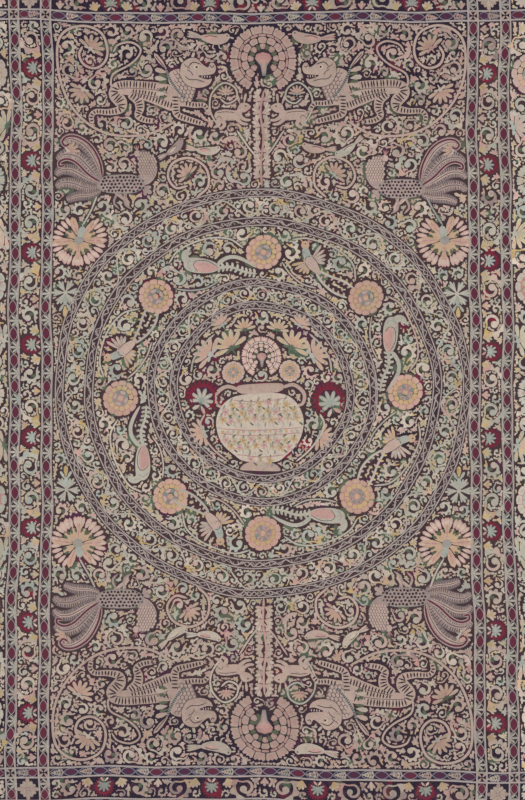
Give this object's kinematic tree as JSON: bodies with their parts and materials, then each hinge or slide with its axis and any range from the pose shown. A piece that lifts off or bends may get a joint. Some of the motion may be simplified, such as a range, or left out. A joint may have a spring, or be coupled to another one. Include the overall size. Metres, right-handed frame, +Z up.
{
  "type": "bedspread",
  "caption": "Large flat rectangular bedspread, covered all over in stitched rings, scrolls, flowers and beasts inside guarded borders, hemmed, lying face up in low puckers.",
  "frame": {"origin": "middle of the bounding box, on the surface that the cloth lies on", "axes": "+X across the width, +Y along the length towards the head end, +Z up from the embroidered face"},
  "size_m": [2.0542, 3.0664, 0.0064],
  "materials": {
    "stitched_cotton": "matte cotton closely worked in dull silk chain stitch, worn"
  },
  "bodies": {
    "root": {"cloth": "stitched_cotton"}
  },
  "joints": []
}
